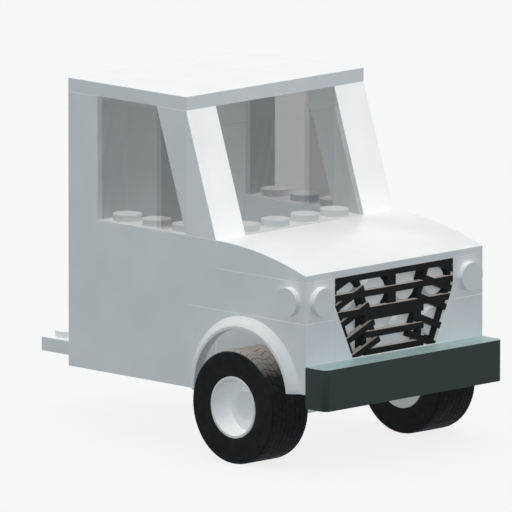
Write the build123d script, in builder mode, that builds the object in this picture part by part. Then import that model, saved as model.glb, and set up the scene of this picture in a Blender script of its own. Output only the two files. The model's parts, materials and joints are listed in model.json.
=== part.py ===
"""Front section of a toy brick ambulance: a cab with its nose, one axle and two wheels, on a tail plate.

Millimetres. X points forward, Y to the vehicle's left, Z up. The origin is the middle of the tail's
studs, on top of the plate that carries them.
"""
import os

from build123d import *

os.makedirs("parts", exist_ok=True)

# Brick system
pitch = 8.0                     # stud to stud, and the width of a one-stud brick
plate = pitch / 3               # height of a plate
brick = 3 * plate               # height of a brick
stud_r = 0.3475 * pitch
stud_high = 0.1625 * pitch

# Lengths along the cab, from its back face forwards
post_long = pitch               # rear posts and back wall
window_long = 2 * pitch         # upright side window
pillar_long = pitch             # slanted end of the side window
cowl_long = pitch               # cowl, dash and windscreen
hood_long = 3 * pitch
lamp_long = pitch               # lamp bricks at the front end of the hood
grille_deep = pitch / 3         # recess that holds the grille

# Widths and heights
cab_wide = 6 * pitch
wall = pitch                    # side walls are one stud thick
floor_high = plate
guard_high = 2 * brick          # chassis bottom to the underside of the fender bricks
fender_high = brick
cowl_rise = 2 * plate           # window sill above the underside of the hood
window_high = 3 * brick
roof_high = plate
hood_lip = plate / 2            # front edge of the hood
glass_wall = 0.6

# Hollows under the lowest bricks
under_deep = 1.6
under_wall = 1.2
tube_bore_r = 0.25 * pitch

# Tail plate, behind the cab
tail_rows = 2
tail_trim = 0.44                # the tail's end inside the grid of its studs

# Bumper
bumper_deep = 5.5
bumper_high = brick
bumper_drop = 0.16              # below the chassis
bumper_round = 1.2              # front corners

# Wheels
tyre_r = 10.944
tyre_wide = 9.6
tyre_round = 0.48               # shoulder radius
tyre_out = 3.48                 # outer face beyond the cab's side
tyre_gap = 0.02                 # between rim and tyre
rim_r = 5.936
rim_barrel = 0.5
dish_deep = 4.848
axle_drop = 1.52                # axle below the chassis
pin_r = 2.0
pin_play = 0.05
pin_bore_deep = 3.2
pin_end_gap = 0.3               # between the pin's tip and the end of its bore
boss_r = 2.5
boss_gap = 0.3                  # between the boss and the rim
carrier_long = pitch
carrier_high = 4.2

# Mudguards
arch_gap = 1.456                # arch radius beyond the tyre's
arch_rise = 2.4                 # arch centre above the axle
flare_wide = 2.36               # flare's width on the panel
flare_lip = 0.56
flare_out = 1.52
guard_wall = 0.6
guard_front = 1.2
guard_foot = 2.48               # lower edge of the front leg above the chassis bottom

# Grille
bar_high = 1.24
bar_deep = grille_deep / 2
post_wide = 1.14
grille_tilt = 22.5              # the outer panels lean inwards, degrees
tilt_offset = 10.4              # middle of a leaning panel from the grille's middle
tilt_rise = 0.2                 # and above it
tilt_wide = pitch
grille_gap = 0.05
sill_high = brick               # chassis bottom to the grille's lower edge
wedge_high = 4 * plate
wedge_wide = 4.8

# Places worked out from the sizes
tube_r = pitch / 2**0.5 - stud_r    # a tube touches the four studs round it
half = cab_wide / 2
inner = half - wall
cab_back = tail_rows * pitch / 2
tail_x = tail_trim - cab_back
bottom = -plate
floor_z = bottom + floor_high
guard_z = bottom + guard_high
hood_z = guard_z + fender_high
sill_z = hood_z + cowl_rise
roof_z = sill_z + window_high
post_x = cab_back + post_long
glass_x = post_x + window_long
dash_x = glass_x + pillar_long
hood_x = dash_x + cowl_long
nose_x = hood_x + hood_long
lamp_x = nose_x - lamp_long
recess_x = nose_x - grille_deep
axle_x = (dash_x + nose_x) / 2
axle_z = bottom - axle_drop
grille_z = bottom + sill_high
lamp_z = hood_z - fender_high / 2
bumper_z = bottom - bumper_drop

sides = (("right", -1), ("left", 1))


def side_face(sign, inwards=0.0):
    """Plane of one side of the cab, with X along it and Z up it, moved inwards."""
    return Plane.XZ.offset(-sign * (half - inwards))


def stud_row(start, length):
    """Middles of the studs that fit on a length."""
    return [start + pitch * (i + 0.5) for i in range(round(length / pitch))]


def block(low, high):
    """Adds a box between two corners."""
    with Locations(low):
        Box(*(b - a for a, b in zip(low, high)), align=Align.MIN)


def studs(plane, spots):
    """Adds studs that stand on a plane."""
    with BuildSketch(plane) as circles:
        with Locations(*spots):
            Circle(stud_r)
    extrude(circles.sketch, amount=stud_high)


def hollow(middle, length, width):
    """Hollows a brick from the chassis bottom up, inside its walls."""
    with BuildSketch(Plane.XY.offset(bottom)) as opening:
        with Locations(middle):
            Rectangle(length - 2 * under_wall, width - 2 * under_wall)
    extrude(opening.sketch, amount=under_deep, mode=Mode.SUBTRACT)


def save(builder, name):
    builder.part.label = name
    export_step(builder.part, f"parts/{name}.step")


across = stud_row(-inner, 2 * inner)

# Chassis plate, with the tail behind the cab
with BuildPart() as chassis:
    block((tail_x, -inner, bottom), (recess_x, inner, floor_z))
    tail_spots = [(x, y) for x in stud_row(-cab_back, tail_rows * pitch) for y in across]
    floor_spots = [(x, y) for x in stud_row(post_x, window_long + pillar_long) for y in across]
    studs(Plane.XY.offset(floor_z), tail_spots + floor_spots)
    hollow(((tail_x + hood_x) / 2, 0), hood_x - tail_x, 2 * inner)
save(chassis, "chassis_plate")

# Tubes in the chassis hollow, between the places of four studs
tube_rows = stud_row(-cab_back, hood_x + cab_back)[:-1]
tube_spots = [(x + pitch / 2, y + pitch / 2) for x in tube_rows for y in across[:-1]]
with BuildPart() as tubes:
    with BuildSketch(Plane.XY.offset(bottom)):
        with Locations(*tube_spots):
            Circle(tube_r)
            Circle(tube_bore_r, mode=Mode.SUBTRACT)
    extrude(amount=under_deep)
save(tubes, "chassis_tubes")

# Middle bricks: name, low corner, high corner
middle_blocks = (
    ("back_wall", (cab_back, -inner, floor_z), (post_x, inner, roof_z)),
    ("roof_plate", (cab_back, -half, roof_z), (dash_x, half, roof_z + roof_high)),
    ("front_sill", (recess_x, -inner, bottom), (nose_x, inner, grille_z)),
)
for name, low, high in middle_blocks:
    with BuildPart() as middle:
        block(low, high)
    save(middle, name)

# Bumper, with round front corners
with BuildPart() as bumper:
    block((nose_x, -half, bumper_z), (nose_x + bumper_deep, half, bumper_z + bumper_high))
    fillet(bumper.edges().filter_by(Axis.Z).group_by(Axis.X)[-1], bumper_round)
save(bumper, "bumper")

# Dash, with the studs that the windscreen covers
with BuildPart() as dash:
    block((dash_x, -inner, floor_z), (hood_x, inner, sill_z))
    studs(Plane.XY.offset(sill_z), [(x, y) for x in stud_row(dash_x, cowl_long) for y in across])
save(dash, "dash_brick")

# Nose block, with the studs that stand forward behind the grille
grille_studs = [(y, z) for y in across for z in stud_row(grille_z, hood_z - grille_z)]
with BuildPart() as nose:
    block((hood_x, -inner, floor_z), (recess_x, inner, hood_z))
    studs(Plane.YZ.offset(recess_x), grille_studs)
save(nose, "nose_block")

# Hood, flat at the cowl and curving down to its lip
with BuildPart() as hood:
    with BuildSketch(Plane.XZ.offset(-half)):
        with BuildLine():
            Polyline((hood_x, sill_z), (hood_x, hood_z), (nose_x, hood_z), (nose_x, hood_z + hood_lip))
            TangentArc((hood_x, sill_z), (nose_x, hood_z + hood_lip), tangent=(1, 0))
        make_face()
    extrude(amount=cab_wide)
save(hood, "hood")

# Side bricks: name, back, front, bottom, top
side_blocks = (
    ("rear_post", cab_back, post_x, bottom, roof_z),
    ("cowl_side", dash_x, hood_x, guard_z, sill_z),
    ("fender_brick", hood_x, lamp_x, guard_z, hood_z),
)
for name, back, front, low, high in side_blocks:
    for side, sign in sides:
        with BuildPart() as side_block:
            with BuildSketch(side_face(sign)):
                with Locations((back, low)):
                    Rectangle(front - back, high - low, align=Align.MIN)
            extrude(amount=sign * wall)
            if low == bottom:
                hollow(((back + front) / 2, sign * (half - wall / 2)), front - back, wall)
        save(side_block, f"{name}_{side}")

# Side pieces cut on a slant: name, corners as X and Z
side_prisms = (
    ("pillar_inverted", ((glass_x, roof_z), (dash_x, roof_z), (dash_x, sill_z))),
    ("pillar_slope", ((dash_x, sill_z), (hood_x, sill_z), (dash_x, roof_z))),
)
for name, corners in side_prisms:
    for side, sign in sides:
        with BuildPart() as prism:
            with BuildSketch(side_face(sign)):
                Polygon(*corners, align=None)
            extrude(amount=sign * wall)
        save(prism, f"{name}_{side}")

# Side walls, with the sill studs that the side windows cover
for side, sign in sides:
    with BuildPart() as side_wall:
        with BuildSketch(side_face(sign)):
            with Locations((post_x, bottom)):
                Rectangle(dash_x - post_x, sill_z - bottom, align=Align.MIN)
        extrude(amount=sign * wall)
        sill_spots = [(x, sign * (half - wall / 2)) for x in stud_row(post_x, dash_x - post_x)]
        studs(Plane.XY.offset(sill_z), sill_spots)
        hollow(((post_x + dash_x) / 2, sign * (half - wall / 2)), dash_x - post_x, wall)
    save(side_wall, f"side_wall_{side}")

# Lamp bricks, with a round lamp on the front and on the side
for side, sign in sides:
    with BuildPart() as lamp:
        with BuildSketch(side_face(sign)):
            with Locations((lamp_x, guard_z)):
                Rectangle(lamp_long, fender_high, align=Align.MIN)
        extrude(amount=sign * wall)
        studs(Plane.YZ.offset(nose_x), [(sign * (half - wall / 2), lamp_z)])
        with BuildSketch(side_face(sign)):
            with Locations((nose_x - lamp_long / 2, lamp_z)):
                Circle(stud_r)
        extrude(amount=-sign * stud_high)
    save(lamp, f"lamp_brick_{side}")

# Clear side windows, hollow and open underneath: name, corners as X and Z
side_glass = (
    ("glass_side", ((post_x, sill_z), (glass_x, sill_z), (glass_x, roof_z), (post_x, roof_z))),
    ("glass_wedge", ((glass_x, sill_z), (dash_x, sill_z), (glass_x, roof_z))),
)
for name, corners in side_glass:
    for side, sign in sides:
        with BuildPart() as glass:
            with BuildSketch(side_face(sign)):
                Polygon(*corners, align=None)
            extrude(amount=sign * wall)
            offset(amount=-glass_wall, openings=glass.faces().sort_by(Axis.Z)[0])
        save(glass, f"{name}_{side}")

# Windscreen, a clear slope over the dash studs
with BuildPart() as windscreen:
    with BuildSketch(Plane.XZ.offset(-inner)):
        Polygon((dash_x, sill_z), (hood_x, sill_z), (dash_x, roof_z), align=None)
    extrude(amount=2 * inner)
    offset(amount=-glass_wall, openings=windscreen.faces().sort_by(Axis.Z)[0])
save(windscreen, "windscreen_glass")

# Mudguards: a thin side panel with a flared arch, made in two halves as the front leg is shorter,
# and a front panel behind the bumper
arch_r = tyre_r + arch_gap
arch_z = axle_z + arch_rise
foot_z = bottom + guard_foot
guard_halves = (
    # far end, way the arch turns, foot
    (nose_x, 1, foot_z),
    (dash_x, -1, bottom),
)
for side, sign in sides:
    face_y = sign * half
    lip_y = sign * (half + flare_out)
    with BuildPart() as guard:
        for end_x, turn, low in guard_halves:
            with BuildPart(mode=Mode.PRIVATE) as leg:
                with BuildSketch(side_face(sign)):
                    with Locations(((axle_x + end_x) / 2, (bottom + guard_z) / 2)):
                        Rectangle(abs(end_x - axle_x), guard_z - bottom)
                extrude(amount=sign * guard_wall)
                with BuildSketch(Plane.YZ.offset(axle_x)):
                    Polygon(
                        (face_y, arch_z + arch_r),
                        (lip_y, arch_z + arch_r),
                        (lip_y, arch_z + arch_r + flare_lip),
                        (face_y, arch_z + arch_r + flare_wide),
                        align=None,
                    )
                revolve(axis=Axis((axle_x, 0, arch_z), (0, turn, 0)), revolution_arc=180)
                with BuildSketch(side_face(sign)):
                    with Locations((axle_x, arch_z)):
                        Circle(arch_r)
                extrude(amount=sign * guard_wall, mode=Mode.SUBTRACT)
                split(bisect_by=Plane.XY.offset(low), keep=Keep.TOP)
            add(leg.part)
        with BuildSketch(Plane.YZ.offset(nose_x)):
            with Locations((sign * (half - wall / 2), (foot_z + guard_z) / 2)):
                Rectangle(wall, guard_z - foot_z)
        extrude(amount=-guard_front)
    save(guard, f"mudguard_{side}")

# White wedges in the lower corners of the grille's recess, with sockets for the studs behind them
for side, sign in sides:
    with BuildPart() as wedge:
        with BuildSketch(Plane.YZ.offset(recess_x)):
            Polygon(
                (sign * inner, grille_z),
                (sign * inner, grille_z + wedge_high),
                (sign * (inner - wedge_wide), grille_z),
                align=None,
            )
        extrude(amount=grille_deep)
        with BuildSketch(Plane.YZ.offset(recess_x)):
            with Locations(*grille_studs):
                Circle(stud_r + grille_gap)
        extrude(amount=stud_high + grille_gap, mode=Mode.SUBTRACT)
    save(wedge, f"grille_wedge_{side}")

# Black grille: posts behind the bars, cut to the recess between the wedges and clear of the studs
grille_high = hood_z - grille_z
grille_mid_z = grille_z + grille_high / 2
row_high = grille_high / 2
# middle Y, middle Z, width, height, tilt, number of bars
grille_panels = (
    (-inner / 2, grille_mid_z + row_high / 2, inner, row_high, 0, 3),
    (inner / 2, grille_mid_z + row_high / 2, inner, row_high, 0, 3),
    (0, grille_mid_z - row_high / 2, inner, row_high, 0, 3),
    (-tilt_offset, grille_mid_z + tilt_rise, tilt_wide, grille_high, grille_tilt, 5),
    (tilt_offset, grille_mid_z + tilt_rise, tilt_wide, grille_high, -grille_tilt, 5),
)
with BuildSketch() as opening:
    Polygon(
        (wedge_wide - inner, grille_z),
        (inner - wedge_wide, grille_z),
        (inner, grille_z + wedge_high),
        (inner, hood_z),
        (-inner, hood_z),
        (-inner, grille_z + wedge_high),
        align=None,
    )
    offset(amount=-grille_gap, kind=Kind.INTERSECTION, mode=Mode.REPLACE)
with BuildSketch() as posts:
    for y, z, wide, high, tilt, bars in grille_panels:
        with Locations(Location((y, z, 0), (0, 0, tilt))):
            with GridLocations(wide - post_wide, 0, 2, 1):
                Rectangle(post_wide, high)
    add(opening.sketch, mode=Mode.INTERSECT)
with BuildPart() as grille:
    with BuildSketch(Plane.YZ.offset(recess_x)):
        add(posts.sketch)
        with Locations(*grille_studs):
            Circle(stud_r + grille_gap, mode=Mode.SUBTRACT)
    extrude(amount=grille_deep - bar_deep)
    with BuildSketch(Plane.YZ.offset(nose_x - bar_deep)):
        add(posts.sketch)
    extrude(amount=bar_deep / 2)
    with BuildSketch(Plane.YZ.offset(nose_x - bar_deep)):
        for y, z, wide, high, tilt, bars in grille_panels:
            with Locations(Location((y, z, 0), (0, 0, tilt))):
                with GridLocations(0, (high - bar_high) / (bars - 1), 1, bars):
                    Rectangle(wide, bar_high)
        add(opening.sketch, mode=Mode.INTERSECT)
    extrude(amount=bar_deep)
save(grille, "grille")

# Axle carrier under the chassis, with a boss and a pin for each wheel
rim_in = half + tyre_out - tyre_wide
with BuildPart() as carrier:
    block(
        (axle_x - carrier_long / 2, -inner, bottom - carrier_high),
        (axle_x + carrier_long / 2, inner, bottom),
    )
    for side, sign in sides:
        for radius, reach in ((boss_r, rim_in - boss_gap), (pin_r, rim_in + pin_bore_deep - pin_end_gap)):
            with BuildSketch(side_face(sign, wall)):
                with Locations((axle_x, axle_z)):
                    Circle(radius)
            extrude(amount=-sign * (reach - inner))
save(carrier, "axle_carrier")

# Wheels: a dished rim that turns on its pin, and a tyre with round shoulders
wheel_axis = Axis((axle_x, 0, axle_z), (0, 1, 0))
for side, sign in sides:
    # inwards from the cab's side to the plane, radius, depth inwards, mode
    rim_cylinders = (
        (-tyre_out, rim_r, tyre_wide, Mode.ADD),
        (-tyre_out, rim_r - rim_barrel, dish_deep, Mode.SUBTRACT),
        (dish_deep - tyre_out, stud_r, -stud_high, Mode.ADD),
        (tyre_wide - tyre_out, pin_r + pin_play, -pin_bore_deep, Mode.SUBTRACT),
    )
    with BuildPart() as rim:
        for inwards, radius, deep, mode in rim_cylinders:
            with BuildSketch(side_face(sign, inwards)):
                with Locations((axle_x, axle_z)):
                    Circle(radius)
            extrude(amount=sign * deep, mode=mode)
    save(rim, f"rim_{side}")

    bead_r = rim_r + tyre_gap
    with BuildPart() as tyre:
        with BuildSketch(Plane.YZ.offset(axle_x)) as section:
            with Locations((sign * (half + tyre_out - tyre_wide / 2), axle_z + (bead_r + tyre_r) / 2)):
                Rectangle(tyre_wide, tyre_r - bead_r)
            fillet(section.vertices().group_by(Axis.Y)[-1], tyre_round)
        revolve(axis=wheel_axis)
    save(tyre, f"tyre_{side}")
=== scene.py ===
"""Looks of the toy brick ambulance's front section: plastics, rubber, tyre tread, light and camera.

Metres, in the CAD frame: X forward, Y to the vehicle's left, Z up.
"""
import json
import math

import bmesh
import bpy
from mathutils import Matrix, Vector


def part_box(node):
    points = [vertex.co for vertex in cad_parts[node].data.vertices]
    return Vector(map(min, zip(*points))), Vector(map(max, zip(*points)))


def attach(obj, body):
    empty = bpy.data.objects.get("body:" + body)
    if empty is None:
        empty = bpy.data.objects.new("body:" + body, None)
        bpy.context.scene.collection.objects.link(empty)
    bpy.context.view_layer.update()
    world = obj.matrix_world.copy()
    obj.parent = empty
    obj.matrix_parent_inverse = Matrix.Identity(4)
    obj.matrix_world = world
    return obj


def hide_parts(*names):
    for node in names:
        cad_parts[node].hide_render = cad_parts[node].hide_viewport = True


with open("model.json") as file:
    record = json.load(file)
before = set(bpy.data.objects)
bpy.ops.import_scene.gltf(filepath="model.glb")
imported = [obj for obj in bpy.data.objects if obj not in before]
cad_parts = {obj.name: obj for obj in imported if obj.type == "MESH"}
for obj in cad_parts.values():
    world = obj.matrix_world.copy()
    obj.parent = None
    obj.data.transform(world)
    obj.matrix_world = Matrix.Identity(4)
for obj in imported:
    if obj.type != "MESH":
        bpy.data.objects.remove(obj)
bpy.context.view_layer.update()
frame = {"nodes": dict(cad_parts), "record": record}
MM = 0.001
SIDES = ("right", "left")

# Camera, at the photo's angle: nearly parallel, so from far away with a long lens
VIEW_AZIMUTH = math.radians(45)
VIEW_ELEVATION = math.radians(10)
VIEW_AIM = Vector((40.0, -5.2, 20.3)) * MM      # the middle of the frame
VIEW_WIDE = 97.85 * MM                          # what the frame takes in
VIEW_END = 10.0                                 # beyond the floor's far corner
LENS_MM = 1500
SENSOR_MM = 36
CLEAR_LAYERS = 32                               # faces of clear plastic that a view may pass through

# Light: an even cool fill that is dimmer in corners, and wide soft lamps without shadows or gleams
FILL_COLOUR = (0.82, 0.94, 1.0)
FILL = 0.4
KEY_COLOUR = (1.0, 0.965, 0.93)
SIDE_LIGHT = 0.465
SLOPE_LAMP = "slopes"                           # lights only the slanted pillars
# Lamps: name, strength, colour, then in degrees the turn about Z from forward, height and width
LAMPS = (
    ("key", 2.3, KEY_COLOUR, 0, 90, 60),
    ("front_left", SIDE_LIGHT, FILL_COLOUR, 45, 0, 50),
    ("back_left", SIDE_LIGHT, FILL_COLOUR, 135, 0, 50),
    ("back_right", SIDE_LIGHT, FILL_COLOUR, 225, 0, 50),
    ("front_right", SIDE_LIGHT, FILL_COLOUR, 315, 0, 50),
    (SLOPE_LAMP, 1.15, KEY_COLOUR, 0, 30, 50),
)

# Stage
BACKDROP = 0.93
FLOOR_HALF = 3.0
FLOOR_GLOW = 0.64                               # the floor's own brightness, as it is seen
FLOOR_TINT = 0.26                               # what light adds to that, where no shadow falls
FLOOR_BOUNCE = 0.1                              # how much light it sends back to the toy

# Painted top light on level faces: a paler colour in uneven patches, standing in for overhead light
COOL_TOP_LIGHT = (0.28, 0.39, 0.383)
WARM_TOP_LIGHT = (0.37, 0.33, 0.305)
TOP_LIGHT_START = 0.6                                # least rise that takes the painted top light, 1 on a level face
TOP_LIGHT_PATCH = 2.5 * MM
TOP_LIGHT_LEAST = 0.8                                # share of the painted top light where a patch is faintest

# Moulded plastics
CLOUD = 9 * MM
SMUDGE = 5 * MM
SMUDGE_ROUGH = 0.02
GRAIN = 0.12 * MM
GRAIN_DEEP = 0.002 * MM
WAVE = 6 * MM
WAVE_DEEP = 0.012 * MM
WHITE = (1.0, 1.0, 1.0)
COOL = (0.8, 1.0, 0.98)
WARM = (1.0, 0.95, 0.92)
# Plastics: slot, dark and light colour, roughness, gloss, colour of the gloss, painted top light
PLASTICS = (
    ("white_plastic", (0.77, 0.78, 0.79), (0.82, 0.825, 0.83), 0.3, 0.4, WHITE, None),
    ("bumper_plastic", (0.039, 0.053, 0.048), (0.046, 0.06, 0.055), 0.36, 0.12, COOL, COOL_TOP_LIGHT),
    ("grille_plastic", (0.007, 0.0085, 0.009), (0.011, 0.0125, 0.013), 0.38, 0.08, WARM, WARM_TOP_LIGHT),
)

# Edges of the moulded pieces
EDGE = 0.05 * MM
EDGE_STEPS = 2
EDGE_ANGLE = math.radians(35)
FLAT_ANGLE = math.radians(0.4)
WELD = 0.001 * MM

# Clear plastic
GLASS_DARK = (0.03, 0.032, 0.033)
GLASS_LIGHT = (0.045, 0.047, 0.048)
GLASS_CLOUD = 6 * MM
GLASS_SMUDGE = 4 * MM
GLASS_ROUGH = (0.04, 0.12)
GLASS_GLOSS = 0.2
SIDE_COVER = 0.135                              # how much each face of a side window hides
SCREEN_COVER = 0.11                             # and each face of the windscreen
GLASS_WALL = 0.6 * MM
TIP_SOFT = 0.1 * MM                             # half of the stretch where the cover changes

# Rubber
RUBBER_DARK = (0.0135, 0.0155, 0.017)
RUBBER_LIGHT = (0.021, 0.0235, 0.025)
RUBBER_CLOUD = 1.6 * MM
RUBBER_SCUFF = 2.5 * MM
RUBBER_ROUGH = (0.55, 0.68)
RUBBER_GLOSS = 0.045
RUBBER_GRAIN = 0.18 * MM
RUBBER_GRAIN_DEEP = 0.008 * MM

# Tyres
TYRE_STEPS = 126
RIM_GAP = 0.02 * MM
SHOULDER = 0.48 * MM
SHOULDER_SHARES = (1.0, 0.9, 0.8)               # points of the shoulder, in shares of a quarter turn
STEP_TURN = math.radians(62)                    # where the shoulder ends and drops to the grooves
TREAD_TURN = math.radians(50)                   # how far the tread goes round the shoulder
TREAD_SHARES = (1.0, 0.75, 0.5, 0.25, 0.0)      # points of the grooves there, in shares of that turn
# Sidewall: height above the rim and inset from the tyre's face, in mm
SIDEWALL = ((0.0, 0.3), (0.1, 0.12), (0.3, 0.05), (0.6, 0.02), (1.5, 0.0), (3.2, 0.0), (4.0, 0.0))

# Tread
TREAD_DEEP = 0.25 * MM
TREAD_SINK = 0.1 * MM                           # how far a block's foot goes below the grooves
RIBS = 8
RIB_GAP = 0.07 * MM
ZIGZAG_RIBS = 2                                 # ribs in each straight stretch of the zigzag
ZIGZAG_RISE = 1.15 * MM
BLOCKS = 42
BLOCK_GAP = 0.13 * MM
BLOCK_EASE = 0.05 * MM
BLOCK_COLUMNS = 3
RISE = "rise"                                   # how level the tread lies, for its painted top light
GROOVE_TOP_LIGHT = 0.91                              # how much of that counts in the grooves, which take the painted top light too
# Rings of a block from its foot up: how far its edges draw in, lift, share of the rise
BLOCK_RINGS = (
    (0.0, -TREAD_DEEP - TREAD_SINK, GROOVE_TOP_LIGHT),
    (0.0, -BLOCK_EASE, GROOVE_TOP_LIGHT),
    (BLOCK_EASE, 0.0, 1.0),
)


def start_material(name):
    material = bpy.data.materials.new(name)
    material.use_nodes = True
    tree = material.node_tree
    return material, tree, tree.nodes["Principled BSDF"]


def on_piece(tree):
    """Places in metres, fixed to the piece."""
    return tree.nodes.new("ShaderNodeTexCoord").outputs["Object"]


def upward(tree, vector):
    parts = tree.nodes.new("ShaderNodeSeparateXYZ")
    tree.links.new(vector, parts.inputs["Vector"])
    return parts.outputs["Z"]


def noise(tree, size, detail=2):
    """Noise fixed to the piece, with features of a size in metres."""
    texture = tree.nodes.new("ShaderNodeTexNoise")
    texture.inputs["Scale"].default_value = 1 / size
    texture.inputs["Detail"].default_value = detail
    tree.links.new(on_piece(tree), texture.inputs["Vector"])
    return texture.outputs["Fac"]


def spread(tree, value, low, high, start=0.3, end=0.7):
    """Maps a value from start to end, which suit a noise, to a range from low to high."""
    node = tree.nodes.new("ShaderNodeMapRange")
    node.inputs["From Min"].default_value = start
    node.inputs["From Max"].default_value = end
    node.inputs["To Min"].default_value = low
    node.inputs["To Max"].default_value = high
    tree.links.new(value, node.inputs["Value"])
    return node.outputs["Result"]


def maths(tree, operation, first, second):
    node = tree.nodes.new("ShaderNodeMath")
    node.operation = operation
    tree.links.new(first, node.inputs[0])
    tree.links.new(second, node.inputs[1])
    return node.outputs["Value"]


def blend_colours(tree, value, first, second):
    """Goes from the first colour to the second. Each is a tuple or comes from a node."""
    node = tree.nodes.new("ShaderNodeMix")
    node.data_type = "RGBA"
    for socket, colour in ((node.inputs["A"], first), (node.inputs["B"], second)):
        if isinstance(colour, tuple):
            socket.default_value = (*colour, 1)
        else:
            tree.links.new(colour, socket)
    tree.links.new(value, node.inputs["Factor"])
    return node.outputs["Result"]


def clouded(tree, size, detail, dark, light):
    """A colour that varies in soft clouds."""
    return blend_colours(tree, spread(tree, noise(tree, size, detail), 0.0, 1.0), dark, light)


def bump(tree, shader, heights):
    """Chains bumps onto the shader's normal. Heights: value, depth in metres."""
    normal = None
    for value, deep in heights:
        node = tree.nodes.new("ShaderNodeBump")
        node.inputs["Distance"].default_value = deep
        tree.links.new(value, node.inputs["Height"])
        if normal:
            tree.links.new(normal, node.inputs["Normal"])
        normal = node.outputs["Normal"]
    tree.links.new(normal, shader.inputs["Normal"])


def face_rise(tree):
    """1 on faces that lie level, 0 on upright ones."""
    return upward(tree, tree.nodes.new("ShaderNodeNewGeometry").outputs["Normal"])


def painted_top_light(tree, rise):
    """How much painted top light a face takes at a rise, in uneven patches: a paler colour standing in
    for overhead light.
    """
    level = spread(tree, rise, 0.0, 1.0, TOP_LIGHT_START, 1.0)
    patches = spread(tree, noise(tree, TOP_LIGHT_PATCH, detail=4), TOP_LIGHT_LEAST, 1.0)
    return maths(tree, "MULTIPLY", level, patches)


def moulded_plastic(name, dark, light, rough, gloss, gloss_colour, top_light):
    """Moulded brick plastic: faint clouds, finger smudges, a very fine grain, and any painted top light:
    a paler colour on level faces.
    """
    material, tree, shader = start_material(name)
    colour = clouded(tree, CLOUD, 3, dark, light)
    # painted top light: level faces paler, standing in for overhead light
    if top_light:
        colour = blend_colours(tree, painted_top_light(tree, face_rise(tree)), colour, top_light)
    tree.links.new(colour, shader.inputs["Base Color"])
    least = rough - SMUDGE_ROUGH
    most = rough + SMUDGE_ROUGH
    smudge = spread(tree, noise(tree, SMUDGE), least, most, start=0.2, end=0.8)
    tree.links.new(smudge, shader.inputs["Roughness"])
    shader.inputs["Specular IOR Level"].default_value = gloss
    shader.inputs["Specular Tint"].default_value = (*gloss_colour, 1)
    grain = noise(tree, GRAIN)
    wave = noise(tree, WAVE, detail=1)
    bump(tree, shader, ((grain, GRAIN_DEEP), (wave, WAVE_DEEP)))
    return material


def clear_plastic(name, cover, tip=None):
    """Thin clear plastic with a grey cast. Above a tip it is solid, so two faces hide as much as four."""
    material, tree, shader = start_material(name)
    tree.links.new(clouded(tree, GLASS_CLOUD, 2, GLASS_DARK, GLASS_LIGHT), shader.inputs["Base Color"])
    smudge = spread(tree, noise(tree, GLASS_SMUDGE, detail=3), *GLASS_ROUGH)
    tree.links.new(smudge, shader.inputs["Roughness"])
    shader.inputs["Specular IOR Level"].default_value = GLASS_GLOSS
    shader.inputs["Alpha"].default_value = cover
    if tip is not None:
        tip_cover = 1 - (1 - cover) ** 2
        height = upward(tree, on_piece(tree))
        alpha = spread(tree, height, cover, tip_cover, tip - TIP_SOFT, tip + TIP_SOFT)
        tree.links.new(alpha, shader.inputs["Alpha"])
    return material


def windscreen_tip():
    """Height where the slanted and upright walls of the windscreen's hollow wedge meet."""
    low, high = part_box("windscreen_glass")
    size = high - low
    return high.z - GLASS_WALL * (math.hypot(size.x, size.z) + size.z) / size.x


def tyre_rubber(name):
    """Soft black rubber, with a fine grain and painted top light: a paler tread where it stood on top at
    rest.
    """
    material, tree, shader = start_material(name)
    rise = tree.nodes.new("ShaderNodeAttribute")
    rise.attribute_name = RISE
    bare = clouded(tree, RUBBER_CLOUD, 4, RUBBER_DARK, RUBBER_LIGHT)
    # painted top light on the tread, paler the higher it stood at rest
    colour = blend_colours(tree, painted_top_light(tree, rise.outputs["Fac"]), bare, WARM_TOP_LIGHT)
    tree.links.new(colour, shader.inputs["Base Color"])
    scuff = spread(tree, noise(tree, RUBBER_SCUFF, detail=3), *RUBBER_ROUGH)
    tree.links.new(scuff, shader.inputs["Roughness"])
    shader.inputs["Specular IOR Level"].default_value = RUBBER_GLOSS
    bump(tree, shader, ((noise(tree, RUBBER_GRAIN, detail=3), RUBBER_GRAIN_DEEP),))
    return material


side_glass = clear_plastic("side_glass", SIDE_COVER)
materials = {row[0]: moulded_plastic(*row) for row in PLASTICS}
materials["clear_plastic"] = clear_plastic("clear_plastic", SCREEN_COVER, windscreen_tip())
materials["tyre_rubber"] = tyre_rubber("tyre_rubber")


def ease_edges(piece):
    """Gives a moulded piece the small round edges of its mould."""
    weld = piece.modifiers.new("weld", "WELD")
    weld.merge_threshold = WELD
    flat = piece.modifiers.new("flat", "DECIMATE")
    flat.decimate_type = "DISSOLVE"
    flat.angle_limit = FLAT_ANGLE
    edge = piece.modifiers.new("edge", "BEVEL")
    edge.width = EDGE
    edge.segments = EDGE_STEPS
    edge.limit_method = "ANGLE"
    edge.angle_limit = EDGE_ANGLE
    edge.harden_normals = True


def dress_nodes():
    """Gives each CAD node its material, and the moulded ones their eased edges."""
    for row in frame["record"]["subparts"]:
        name = row["node"]
        slot = row["material_slot"]
        node = frame["nodes"][name]
        node.data.materials.clear()
        node.data.materials.append(side_glass if name.startswith("glass_") else materials[slot])
        if slot not in ("clear_plastic", "tyre_rubber"):
            ease_edges(node)


def make_piece(name, points, faces, slot):
    mesh = bpy.data.meshes.new(name)
    mesh.from_pydata(points, [], faces)
    work = bmesh.new()
    work.from_mesh(mesh)
    bmesh.ops.recalc_face_normals(work, faces=work.faces)
    work.to_mesh(mesh)
    work.free()
    mesh.shade_smooth()
    mesh.set_sharp_from_angle(angle=EDGE_ANGLE)
    mesh.materials.append(materials[slot])
    piece = bpy.data.objects.new(name, mesh)
    bpy.context.scene.collection.objects.link(piece)
    return piece


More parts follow.
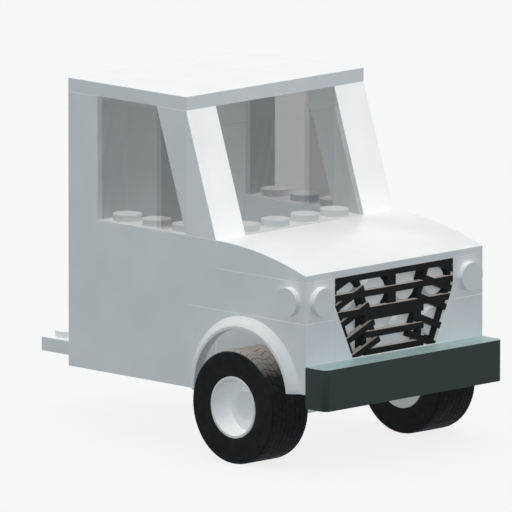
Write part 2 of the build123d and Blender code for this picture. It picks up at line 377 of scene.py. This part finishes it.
class Tyre:
    """A tyre's section, from its CAD node and its rim, and the points and faces made from it."""

    def __init__(self, side):
        low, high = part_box(f"tyre_{side}")
        rim_low, rim_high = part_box(f"rim_{side}")
        self.middle = (low + high) / 2
        self.outer_r = (high.x - low.x) / 2
        self.bore_r = (rim_high.x - rim_low.x) / 2 + RIM_GAP
        self.half_wide = (high.y - low.y) / 2
        self.flat = self.half_wide - SHOULDER
        self.rib_wide = 2 * (self.flat + SHOULDER * TREAD_TURN) / RIBS
        self.points = []
        self.rises = []
        self.faces = []

    def over_tread(self, along, lift):
        """Place across the tyre and radius of a point on the tread, at a distance along its section."""
        turn = max(0.0, (abs(along) - self.flat) / SHOULDER)
        across = min(abs(along), self.flat) + (SHOULDER + lift) * math.sin(turn)
        radius = self.outer_r - SHOULDER + (SHOULDER + lift) * math.cos(turn)
        return math.copysign(across, along), radius

    def section(self):
        """Half from bead to crown, then its mirror image: place across, radius, share of the rise for the
        painted top light.
        """
        half = [(self.half_wide - inset * MM, self.bore_r + high * MM, 0.0) for high, inset in SIDEWALL]
        shoulder_turns = [share * math.pi / 2 for share in SHOULDER_SHARES] + [STEP_TURN]
        for turn in shoulder_turns:
            half.append((*self.over_tread(self.flat + SHOULDER * turn, 0.0), 0.0))
        for share in TREAD_SHARES:
            groove = self.over_tread(self.flat + SHOULDER * share * TREAD_TURN, -TREAD_DEEP)
            half.append((*groove, GROOVE_TOP_LIGHT))
        return half + [(-across, radius, top_light_share) for across, radius, top_light_share in reversed(half)]

    def add_point(self, across, radius, angle, top_light_share):
        """Adds a point at an angle round the axle, with its rise for the painted top light, and gives its
        number.
        """
        from_middle = Vector((radius * math.cos(angle), across, radius * math.sin(angle)))
        self.points.append(self.middle + from_middle)
        # paler towards the top at rest: painted top light
        self.rises.append(top_light_share * math.sin(angle))
        return len(self.points) - 1


def add_carcass(tyre):
    """Turns the tyre's section round the axle."""
    section = tyre.section()
    rows = []
    for step in range(TYRE_STEPS):
        angle = math.tau * step / TYRE_STEPS
        rows.append([tyre.add_point(across, radius, angle, top_light_share) for across, radius, top_light_share in section])
    for here, there in zip(rows, rows[1:] + rows[:1]):
        for i, j in zip(range(len(section)), [*range(1, len(section)), 0]):
            tyre.faces.append((here[i], here[j], there[j], there[i]))


def zigzag(along, rib_wide):
    """Shift of the tread's grooves round the tyre, which goes up and down across it."""
    phase = (along / (ZIGZAG_RIBS * rib_wide) + 0.5) % 2
    return ZIGZAG_RISE * min(phase, 2 - phase)


def block_ring(tyre, rib, block, ease, lift, top_light_share):
    """Points of a block at one lift, with their share of the painted top light: a row along its near
    edge, then one along its far edge.
    """
    pitch = math.tau * tyre.outer_r / BLOCKS
    edge_along = RIB_GAP / 2 + ease
    edge_round = BLOCK_GAP / 2 + ease
    low = (rib - RIBS / 2) * tyre.rib_wide + edge_along
    high = (rib + 1 - RIBS / 2) * tyre.rib_wide - edge_along
    ring = []
    for reach in (block * pitch + edge_round, (block + 1) * pitch - edge_round):
        for column in range(BLOCK_COLUMNS):
            along = low + (high - low) * column / (BLOCK_COLUMNS - 1)
            across, radius = tyre.over_tread(along, lift)
            angle = (reach + zigzag(along, tyre.rib_wide)) / tyre.outer_r
            ring.append(tyre.add_point(across, radius, angle, top_light_share))
    return ring


def add_block(tyre, rib, block):
    """One closed block of the tread, with its top edges eased."""
    rings = [block_ring(tyre, rib, block, *row) for row in BLOCK_RINGS]
    way_round = [*range(BLOCK_COLUMNS), *reversed(range(BLOCK_COLUMNS, 2 * BLOCK_COLUMNS))]
    for below, above in zip(rings, rings[1:]):
        for i, j in zip(way_round, way_round[1:] + way_round[:1]):
            tyre.faces.append((below[i], below[j], above[j], above[i]))
    for ring in (rings[0], rings[-1]):
        near = ring[:BLOCK_COLUMNS]
        far = ring[BLOCK_COLUMNS:]
        for i in range(BLOCK_COLUMNS - 1):
            tyre.faces.append((near[i], near[i + 1], far[i + 1], far[i]))


def make_tyre(side):
    tyre = Tyre(side)
    add_carcass(tyre)
    for rib in range(RIBS):
        for block in range(BLOCKS):
            add_block(tyre, rib, block)
    piece = make_piece(f"tread_tyre_{side}", tyre.points, tyre.faces, "tyre_rubber")
    # how high each point stood at rest, for the tread's painted top light
    layer = piece.data.attributes.new(RISE, "FLOAT", "POINT")
    layer.data.foreach_set("value", tyre.rises)
    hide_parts(f"tyre_{side}")
    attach(piece, f"wheel_{side}")


def ways_seen(tree):
    """1 for what is seen straight, in gloss or through glass, and 0 for rays that only carry light."""
    path = tree.nodes.new("ShaderNodeLightPath")
    seen = path.outputs["Is Camera Ray"]
    for way in ("Is Glossy Ray", "Is Transmission Ray"):
        seen = maths(tree, "MAXIMUM", seen, path.outputs[way])
    return seen


def show_apart(tree, lit, seen, output):
    """Sends one shader to the rays that carry light, and another to those that see."""
    node = tree.nodes.new("ShaderNodeMixShader")
    tree.links.new(ways_seen(tree), node.inputs["Fac"])
    tree.links.new(lit, node.inputs[1])
    tree.links.new(seen, node.inputs[2])
    tree.links.new(node.outputs["Shader"], tree.nodes[output].inputs["Surface"])


def make_world():
    world = bpy.data.worlds.new("studio")
    bpy.context.scene.world = world
    world.use_nodes = True
    tree = world.node_tree
    fill = tree.nodes["Background"]
    fill.inputs["Color"].default_value = (*FILL_COLOUR, 1)
    fill.inputs["Strength"].default_value = FILL
    backdrop = tree.nodes.new("ShaderNodeBackground")
    backdrop.inputs["Color"].default_value = (*WHITE, 1)
    backdrop.inputs["Strength"].default_value = BACKDROP
    show_apart(tree, fill.outputs["Background"], backdrop.outputs["Background"], "World Output")


def make_lamps():
    slopes = bpy.data.collections.new("slopes")
    for side in SIDES:
        slopes.objects.link(frame["nodes"][f"pillar_slope_{side}"])
    for name, strength, colour, turn, high, wide in LAMPS:
        data = bpy.data.lights.new(name, "SUN")
        data.energy = strength
        data.color = colour
        data.angle = math.radians(wide)
        data.use_shadow = False
        lamp = bpy.data.objects.new(name, data)
        bpy.context.scene.collection.objects.link(lamp)
        lamp.visible_glossy = False
        if name == SLOPE_LAMP:
            lamp.light_linking.receiver_collection = slopes
        lamp.rotation_euler = (0, math.radians(90 - high), math.radians(turn))


def dull(tree, grey):
    node = tree.nodes.new("ShaderNodeBsdfDiffuse")
    node.inputs["Color"].default_value = (grey, grey, grey, 1)
    return node.outputs["BSDF"]


def make_floor():
    """A pale floor under the wheels, which takes a soft shadow and sends little light back up."""
    material, tree, shader = start_material("floor")
    tree.nodes.remove(shader)
    glow = tree.nodes.new("ShaderNodeEmission")
    glow.inputs["Strength"].default_value = FLOOR_GLOW
    pale = tree.nodes.new("ShaderNodeAddShader")
    tree.links.new(glow.outputs["Emission"], pale.inputs[0])
    tree.links.new(dull(tree, FLOOR_TINT), pale.inputs[1])
    show_apart(tree, dull(tree, FLOOR_BOUNCE), pale.outputs["Shader"], "Material Output")

    level = min(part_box(f"tyre_{side}")[0].z for side in SIDES)
    corners = ((-1, -1), (1, -1), (1, 1), (-1, 1))
    mesh = bpy.data.meshes.new("floor")
    mesh.from_pydata([(x * FLOOR_HALF, y * FLOOR_HALF, level) for x, y in corners], [], [(0, 1, 2, 3)])
    mesh.materials.append(material)
    floor = bpy.data.objects.new("floor", mesh)
    bpy.context.scene.collection.objects.link(floor)


def make_camera():
    data = bpy.data.cameras.new("camera")
    data.sensor_width = SENSOR_MM
    data.lens = LENS_MM
    data.clip_end = VIEW_END
    camera = bpy.data.objects.new("camera", data)
    bpy.context.scene.collection.objects.link(camera)
    back = Vector((
        math.sin(VIEW_AZIMUTH) * math.cos(VIEW_ELEVATION),
        -math.cos(VIEW_AZIMUTH) * math.cos(VIEW_ELEVATION),
        math.sin(VIEW_ELEVATION),
    ))
    camera.location = VIEW_AIM + back * VIEW_WIDE * LENS_MM / SENSOR_MM
    camera.rotation_mode = "QUATERNION"
    camera.rotation_quaternion = (-back).to_track_quat("-Z", "Y")
    bpy.context.scene.camera = camera


dress_nodes()
for wheel_side in SIDES:
    make_tyre(wheel_side)
make_world()
make_lamps()
make_floor()
make_camera()
bpy.context.scene.view_settings.view_transform = "Standard"
bpy.context.scene.cycles.transparent_max_bounces = CLEAR_LAYERS
